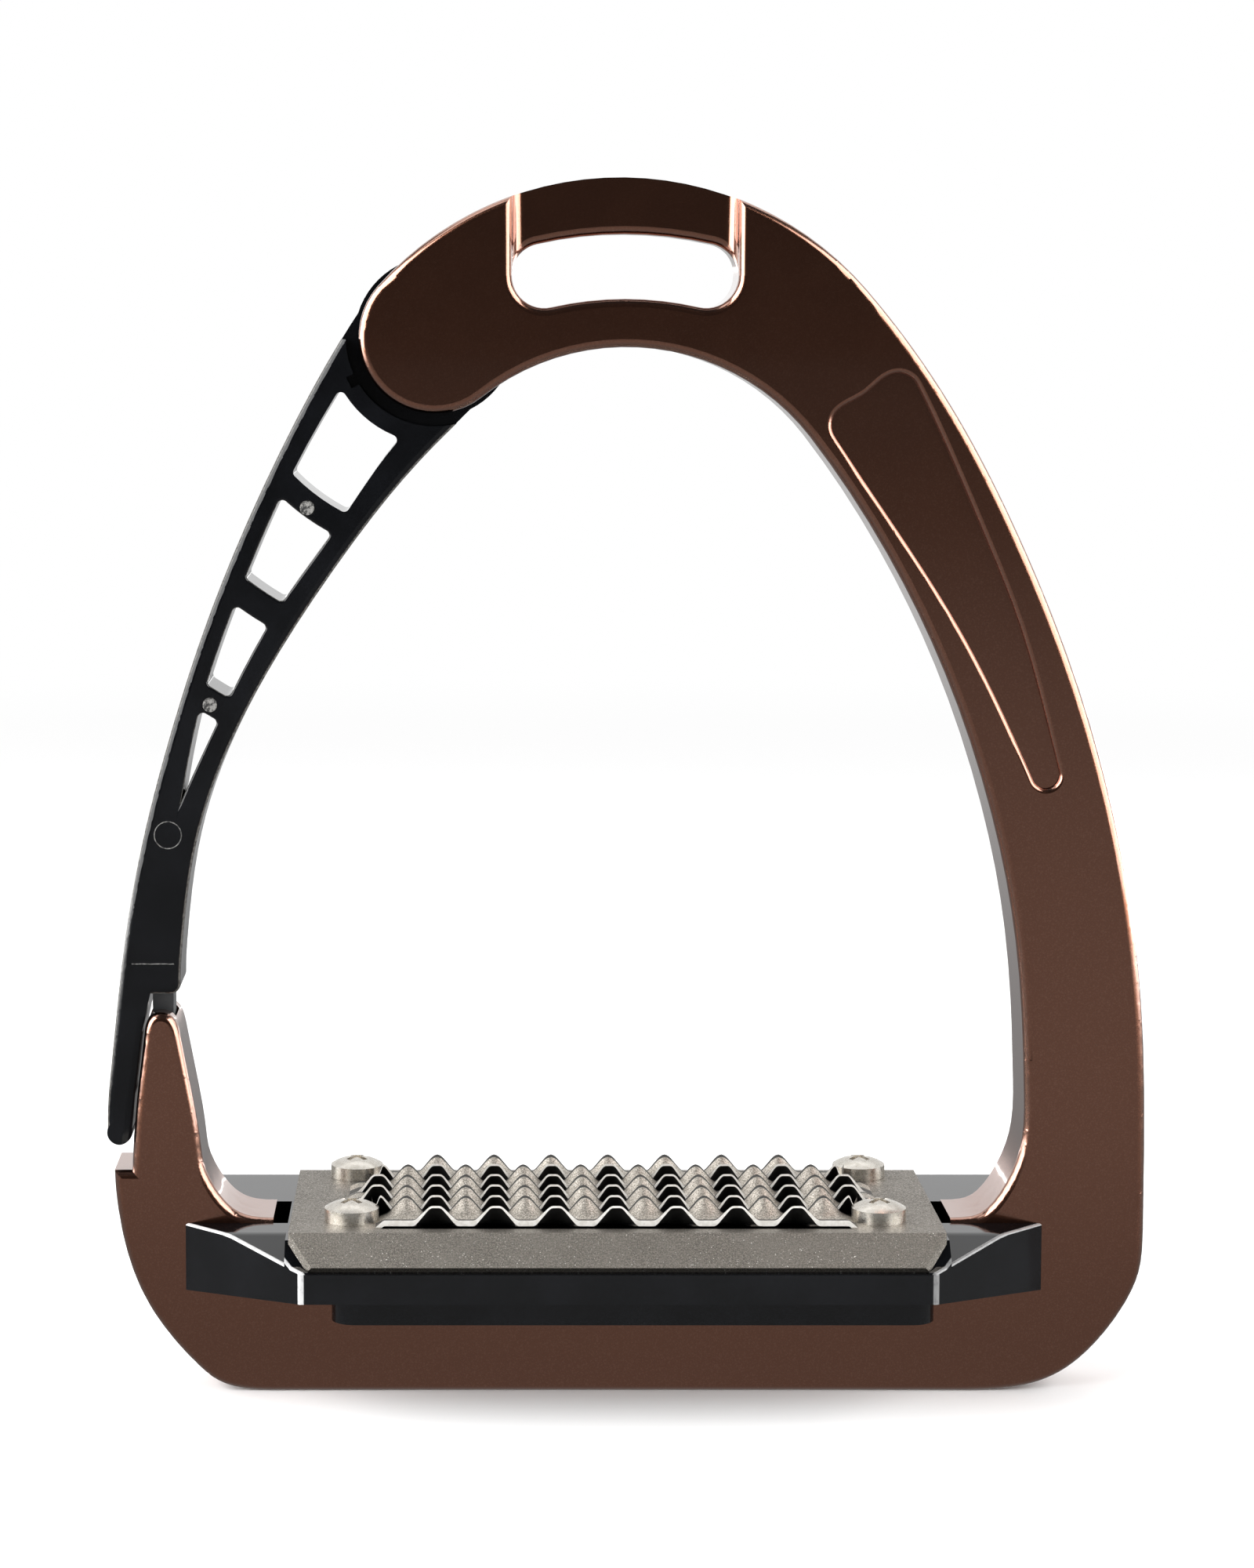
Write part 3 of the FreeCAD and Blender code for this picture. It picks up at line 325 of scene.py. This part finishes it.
def dress_nodes(sheet_finish):
    """Gives every modelled part its finish."""
    nylon, plated, bearing = glossy_nylon(), bright_steel(), bronze()
    finishes = {
        "frame": brown_lacquer(),
        # The arm: weaker gloss, and pale edges that are partly scuffs and partly a painted highlight.
        "release_arm": glossy_nylon("scuffed_and_highlit_nylon", 0.7, 0.3),
        "closing_buffer": grey_rubber(),
        "tread_body": saddle_nylon(),
        "grip_plate": sheet_finish,
        "front_nut_bar": nylon,
        "rear_nut_bar": nylon,
        "pivot_bush": bearing,
        "return_spring": bright_steel("spring_wire", (0.38, 0.38, 0.39, 1)),
    }
    for name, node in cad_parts.items():
        finish = bearing if name.startswith("base_insert") else finishes.get(name, plated)
        if not node.material_slots:
            node.data.materials.append(finish)
        for slot in node.material_slots:
            slot.material = finish


def new_piece(name, bm):
    """An object with the given mesh."""
    mesh = bpy.data.meshes.new(name)
    bm.to_mesh(mesh)
    bm.free()
    piece = bpy.data.objects.new(name, mesh)
    bpy.context.collection.objects.link(piece)
    return piece


# ---- toothed grip plate ----
PLATE_LOW, PLATE_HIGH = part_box("grip_plate")
PLATE_X = (PLATE_LOW.x + PLATE_HIGH.x) / 2
TOOTH_HEIGHT, TROUGH_HEIGHT = 3.2 * MM, 0.5 * MM
PLATE_TOP = PLATE_HIGH.z - TOOTH_HEIGHT
TOOTH_PITCH = 8.8 * MM
CREST_HALF, FOOT_HALF, CREST_ROUNDING = 0.8 * MM, 3.05 * MM, 0.16    # open teeth, at the top and at the foot
PEAK_HALF, PEAK_FOOT_HALF, PEAK_ROUNDING = 0.5 * MM, 2.75 * MM, 0.28    # closed teeth
ROW_DEPTH, LANCE_GAP = 6.7 * MM, 0.12 * MM
STRIP_HALF_X = [x * MM for x in (35.2, 35.9, 39.6, 39.6, 35.9)]   # front to rear
STRIP_REACH = (3, 4, 4, 4, 4)   # teeth on each side of the middle one, front edge of each strip
STRIPS = len(STRIP_HALF_X)
STRIP_RAMP = 1.2 * MM           # the sheet rises over this length at a strip's two ends
FRONT_LIFT = 0.55 * MM          # how far the front edge is lifted between the teeth
UNDER_SCREW = -0.06 * MM        # level of the sheet under the screws' heads
CREST_SHEET, TROUGH_SHEET = 0.3 * MM, 0.85 * MM    # thickness where it is drawn up, and between the teeth
COLUMN_WIDTH, LINES = 0.22 * MM, 10    # a strip's grid, along it and across it
SHADE_PAINTED_LINES = 4                # lines behind a strip's front edge that are painted dark as shade
SHEET, CUT, SHADE_PAINTED_SLOT, PAINTED_LIGHT_SLOT = range(4)    # the plate's material slots


def soft_clamp(value, rounding):
    """0..1 clamp whose two corners are rounded."""
    if value < rounding:
        return max(0.0, value + rounding) ** 2 / (4 * rounding)
    if value > 1 - rounding:
        return 1 - max(0.0, 1 + rounding - value) ** 2 / (4 * rounding)
    return value


def ease(t):
    """0..1 clamp that starts and ends level."""
    t = min(max(t, 0.0), 1.0)
    return t * t * (3 - 2 * t)


def teeth(x, first, last, offset, top_half, foot_half, rounding):
    """0 between the teeth and 1 on the top of a tooth, along one cut edge.

    Teeth first..last stand a pitch apart, the one numbered 0 at offset pitches from the middle."""
    nearest = min(max(round(x / TOOTH_PITCH - offset), first), last)
    away = abs(x - (nearest + offset) * TOOTH_PITCH)
    return soft_clamp((foot_half - away) / (foot_half - top_half), rounding)


def open_teeth(x, row):
    """The teeth along a strip's front edge."""
    return teeth(x, -STRIP_REACH[row], STRIP_REACH[row], 0.0, CREST_HALF, FOOT_HALF, CREST_ROUNDING)


def closed_teeth(x, row):
    """The teeth along a strip's rear edge: between the open ones, but in the last strip behind them."""
    first, last, offset = (-3, 3, 0.0) if row == STRIPS - 1 else (-4, 3, 0.5)
    return teeth(x, first, last, offset, PEAK_HALF, PEAK_FOOT_HALF, PEAK_ROUNDING)


def screw_heads():
    """Where the plate screws stand and how wide their heads are, as (x, y, head radius)."""
    heads = []
    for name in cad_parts:
        if name.startswith("plate_screw"):
            low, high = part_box(name)
            heads.append(((low.x + high.x) / 2, (low.y + high.y) / 2, (high.x - low.x) / 2))
    return heads


def strip_rise(row, x, across):
    """How far the sheet is drawn up, 0..1, at a share of the way across a strip from its front edge."""
    reach = 0.5 if row == STRIPS - 1 else 0.6
    from_front = open_teeth(x, row) * (1 - ease(across / reach))
    from_rear = closed_teeth(x, row) * ease((across - 1 + reach) / reach)
    return from_front + from_rear


def strip_height(row, x, y, across, heads):
    """Height of the sheet's upper face above the plate's flat rim, with its rise of 0..1."""
    rise = strip_rise(row, x, across)
    lift = FRONT_LIFT * (1 - ease(2 * across)) if row == 0 else 0.0
    trough = TROUGH_HEIGHT + lift
    ends = min(1.0, (STRIP_HALF_X[row] - abs(x)) / STRIP_RAMP)
    height = (trough + (TOOTH_HEIGHT - trough) * rise) * ends
    under_a_head = any(math.hypot(PLATE_X + x - hx, y - hy) < radius for hx, hy, radius in heads)
    return (min(height, UNDER_SCREW) if under_a_head else height), rise


def patch(bm, points, material_index, smooth=True):
    """Quads over a grid of points."""
    grid = [[bm.verts.new(point) for point in line] for line in points]
    for first, second in zip(grid, grid[1:]):
        for a, b, c, d in zip(first, first[1:], second[1:], second):
            face = bm.faces.new((a, b, c, d))
            face.smooth = smooth
            face.material_index = material_index


def tooth_strip(bm, row, heads):
    """The sheet between two cuts: its upper and lower faces and its two bright cut faces."""
    half_x = STRIP_HALF_X[row]
    front_y = (row - STRIPS / 2) * ROW_DEPTH + LANCE_GAP / 2
    columns = 2 * round(half_x / COLUMN_WIDTH)
    upper, lower = [], []
    for j in range(LINES + 1):
        across = j / LINES
        y = front_y + (ROW_DEPTH - LANCE_GAP) * across
        upper.append([])
        lower.append([])
        for i in range(columns + 1):
            x = -half_x + 2 * half_x * i / columns
            height, rise = strip_height(row, x, y, across, heads)
            thickness = TROUGH_SHEET + (CREST_SHEET - TROUGH_SHEET) * rise
            upper[-1].append((PLATE_X + x, y, PLATE_TOP + height))
            lower[-1].append((PLATE_X + x, y, PLATE_TOP + height - thickness))
    # Painted shade: the front lines and the last line of the upper face, and the whole lower face, get
    # near-black steel; the lines between get the teeth finish, painted lighter.
    patch(bm, upper[:SHADE_PAINTED_LINES + 1], SHADE_PAINTED_SLOT)
    patch(bm, upper[SHADE_PAINTED_LINES:LINES], PAINTED_LIGHT_SLOT)
    patch(bm, upper[LINES - 1:], SHADE_PAINTED_SLOT)
    patch(bm, lower[::-1], SHADE_PAINTED_SLOT)
    patch(bm, [lower[0], upper[0]], CUT, smooth=False)
    patch(bm, [upper[-1], lower[-1]], CUT, smooth=False)


def in_a_strip(face):
    """Whether a face of the plain plate lies where a toothed strip goes."""
    inset = 0.01 * MM
    middle = face.calc_center_median()
    row = math.floor(middle.y / ROW_DEPTH + STRIPS / 2)
    return 0 <= row < STRIPS and abs(middle.x - PLATE_X) < STRIP_HALF_X[row] - inset


def grip_plate(finishes):
    """The bent sheet with its toothed strips. The finishes are those of the sheet, its cut faces, near-black
    steel as painted shade on the strips' front parts, rear edges and undersides, and a copy of the blasted
    finish painted lighter, as painted light, on the rest of the strips' tops."""
    bm = bmesh.new()
    bm.from_mesh(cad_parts["grip_plate"].data)
    bmesh.ops.delete(bm, geom=[face for face in bm.faces if in_a_strip(face)], context="FACES")
    for face in bm.faces:
        face.material_index = SHEET
    heads = screw_heads()
    for row in range(STRIPS):
        tooth_strip(bm, row, heads)
    plate = new_piece("toothed_plate", bm)
    for finish in finishes:
        plate.data.materials.append(finish)
    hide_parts("grip_plate")
    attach(plate, "iron")


# ---- small marks sunk in the arm's front face; places are x from the iron's middle and height ----
PIN_MIDDLES, PIN_RADIUS = ((-47.1 * MM, 132.0 * MM), (-61.5 * MM, 103.0 * MM)), 1.15 * MM
PIN_THICKNESS, PIN_TAPER = 0.12 * MM, 0.9
STEP_LEFT, STEP_RIGHT, STEP_LEVEL = -73.3 * MM, -67.0 * MM, 64.5 * MM
STEP_DEPTH, STEP_WIDTH, STEP_SINK = 0.1 * MM, 0.18 * MM, 0.12 * MM
RING_MIDDLE, RING_RADIUS, RING_WIRE = (-67.8 * MM, 83.7 * MM), 2.0 * MM, 0.10 * MM
FACING_FRONT = (math.pi / 2, 0, 0)


def set_in_arm(mark, x, z, sunk, finish):
    """Puts a mark at its place in the arm, its middle a little behind the arm's front face."""
    mark.location = (x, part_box("release_arm")[0].y + sunk, z)
    mark.data.materials.append(finish)
    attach(mark, "arm")


def pin_marks(finish):
    """Rough round marks that the mould's pins left on two of the arm's ribs."""
    for number, (x, z) in enumerate(PIN_MIDDLES):
        bm = bmesh.new()
        bmesh.ops.create_cone(bm, cap_ends=True, segments=40, radius1=PIN_RADIUS,
                              radius2=PIN_RADIUS * PIN_TAPER, depth=PIN_THICKNESS)
        mark = new_piece(f"pin_mark_{number}", bm)
        mark.rotation_euler = FACING_FRONT
        set_in_arm(mark, x, z, PIN_THICKNESS, finish)


def step_line(finish):
    """The fine pale line across the arm's panel, above the hook: a painted highlight on the edge of a shallow
    step there.
    """
    bm = bmesh.new()
    bmesh.ops.create_cube(bm, size=1.0)
    bmesh.ops.scale(bm, vec=(STEP_RIGHT - STEP_LEFT, STEP_DEPTH, STEP_WIDTH), verts=bm.verts)
    set_in_arm(new_piece("step_line", bm), (STEP_LEFT + STEP_RIGHT) / 2, STEP_LEVEL, STEP_SINK, finish)


def disc_mark(finish):
    """The thin ring round a flush pin mark on the arm's panel."""
    bpy.ops.mesh.primitive_torus_add(major_segments=64, minor_segments=8, major_radius=RING_RADIUS,
                                     minor_radius=RING_WIRE, rotation=FACING_FRONT)
    ring = bpy.context.object
    ring.name = "disc_mark"
    set_in_arm(ring, *RING_MIDDLE, RING_WIRE, finish)


def add_pieces(sheet_finish):
    """The pieces that the plain model doesn't have."""
    dull = dull_nylon()
    pin_marks(dull)
    # The step line's pale grey is a painted highlight.
    step_line(dull)
    disc_mark(dull)
    cut = bright_steel("cut_steel", (0.82, 0.80, 0.76, 1), 0.35, 0.5)
    # Near-black steel: painted shade on the strips' front parts, rear edges and undersides.
    painted_shade_finish = bright_steel("painted_shade_steel", (0.035, 0.034, 0.032, 1), 0.5, 0.5)
    # The teeth get a copy of the sheet's blasted finish, 1.9 times lighter: painted light.
    grip_plate([sheet_finish, cut, painted_shade_finish, blasted_steel("blasted_teeth_painted_lighter", 1.9)])


# ---- studio ----
def mirrored_glow(tree):
    """How bright the floor is in a reflection: dimmest far in front, and brightest on both sides."""
    x, y, _ = axes(tree, place(tree))
    coming_closer = ramp(tree, y, -2.6, -0.1, 0.09, 0.33)
    shade_beneath = ramp(tree, y, -0.22, -0.02, 0.0, -0.08)
    out_wide = ramp(tree, calculate(tree, "ABSOLUTE", x), 0.35, 0.75, 0.0, 4.0)
    beside = times(tree, out_wide, ramp(tree, y, -0.6, -0.4))
    behind = ramp(tree, y, 0.1, 0.9, 0.0, 0.3)
    return plus(tree, plus(tree, plus(tree, coming_closer, shade_beneath), beside), behind)


def pale_floor():
    """A large plain floor that fades into the white backdrop. In glossy reflections it has a glow of
    its own instead, so that the object mirrors a studio with lit sides."""
    far, fade_from, fade_to = 12.0, 0.25, 1.1
    mesh = bpy.data.meshes.new("floor")
    mesh.from_pydata([(-far, -far, 0), (far, -far, 0), (far, far, 0), (-far, far, 0)], [], [(0, 1, 2, 3)])
    floor = bpy.data.objects.new("floor", mesh)
    bpy.context.collection.objects.link(floor)
    material, tree, shader = new_material("pale_floor")
    grey, lighter = (0.86, 0.86, 0.86, 1), (0.9, 0.9, 0.9, 1)
    socket(tree, shader.inputs["Base Color"], blend_colours(tree, noise(tree, 300.0, 2.0), grey, lighter))
    shader.inputs["Roughness"].default_value = 0.6
    shader.inputs["Specular IOR Level"].default_value = 0.2
    away = tree.nodes.new("ShaderNodeVectorMath")
    away.operation = "LENGTH"
    tree.links.new(place(tree), away.inputs[0])
    backdrop = tree.nodes.new("ShaderNodeEmission")
    seen = blend_shaders(tree, ramp(tree, away.outputs["Value"], fade_from, fade_to),
                         shader.outputs["BSDF"], backdrop.outputs["Emission"])
    mirrored = tree.nodes.new("ShaderNodeEmission")
    socket(tree, mirrored.inputs["Strength"], mirrored_glow(tree))
    in_reflection = tree.nodes.new("ShaderNodeLightPath").outputs["Is Glossy Ray"]
    surface = blend_shaders(tree, in_reflection, seen, mirrored.outputs["Emission"])
    tree.links.new(surface, tree.nodes["Material Output"].inputs["Surface"])
    mesh.materials.append(material)


def surroundings():
    """White behind the object and dim elsewhere, as in a studio with a lit backdrop. The camera sees
    white all round."""
    world = bpy.data.worlds.new("studio")
    world.use_nodes = True
    tree = world.node_tree
    direction = tree.nodes.new("ShaderNodeTexCoord").outputs["Generated"]
    behind = ramp(tree, axes(tree, direction)[1], 0.3, 0.6)
    light = blend_colours(tree, behind, (0.033, 0.033, 0.034, 1), WHITE)
    seen = tree.nodes.new("ShaderNodeLightPath").outputs["Is Camera Ray"]
    socket(tree, tree.nodes["Background"].inputs["Color"], blend_colours(tree, seen, light, WHITE))
    bpy.context.scene.world = world


def softbox(name, stands_at, aim, width, height, watts):
    """A rectangular light that is turned to its aim."""
    data = bpy.data.lights.new(name, "AREA")
    data.shape = "RECTANGLE"
    data.size = width
    data.size_y = height
    data.energy = watts
    light = bpy.data.objects.new(name, data)
    light.location = stands_at
    light.rotation_euler = (Vector(aim) - Vector(stands_at)).to_track_quat("-Z", "Y").to_euler()
    bpy.context.collection.objects.link(light)


def studio_lights():
    """A long softbox on each side, from the front quarter to just behind, a weak one above and behind,
    and a small weak one high on the left."""
    aim = (0, 0, 0.09)
    for side, name, watts in ((-1, "left", 30), (1, "right", 22)):
        softbox(name, (side * 0.9, -0.28, 0.48), aim, 1.35, 1.0, watts)
    softbox("top", (0, 0.5, 1.4), aim, 1.6, 0.9, 5)
    softbox("top_left", (-0.5, -0.15, 1.1), aim, 0.45, 0.35, 1.0)


def camera():
    """Stands a little left of the middle and lower than the arch's top, looking slightly down."""
    left, distance, height, degrees_down = 24.35 * MM, 547.75 * MM, 160.33 * MM, 4.8417
    data = bpy.data.cameras.new("camera")
    data.lens = 85.0
    data.sensor_width = 36.0
    data.shift_x = 0.105
    data.shift_y = -0.10
    data.clip_start = 0.02
    view = bpy.data.objects.new("camera", data)
    view.location = (-left, -distance, height)
    view.rotation_euler = (math.radians(90 - degrees_down), 0, 0)
    bpy.context.collection.objects.link(view)
    bpy.context.scene.camera = view


camera()
pale_floor()
surroundings()
studio_lights()
BLASTED = blasted_steel("blasted_steel", 1.0)
dress_nodes(BLASTED)
add_pieces(BLASTED)

bpy.context.scene.view_settings.view_transform = "Standard"
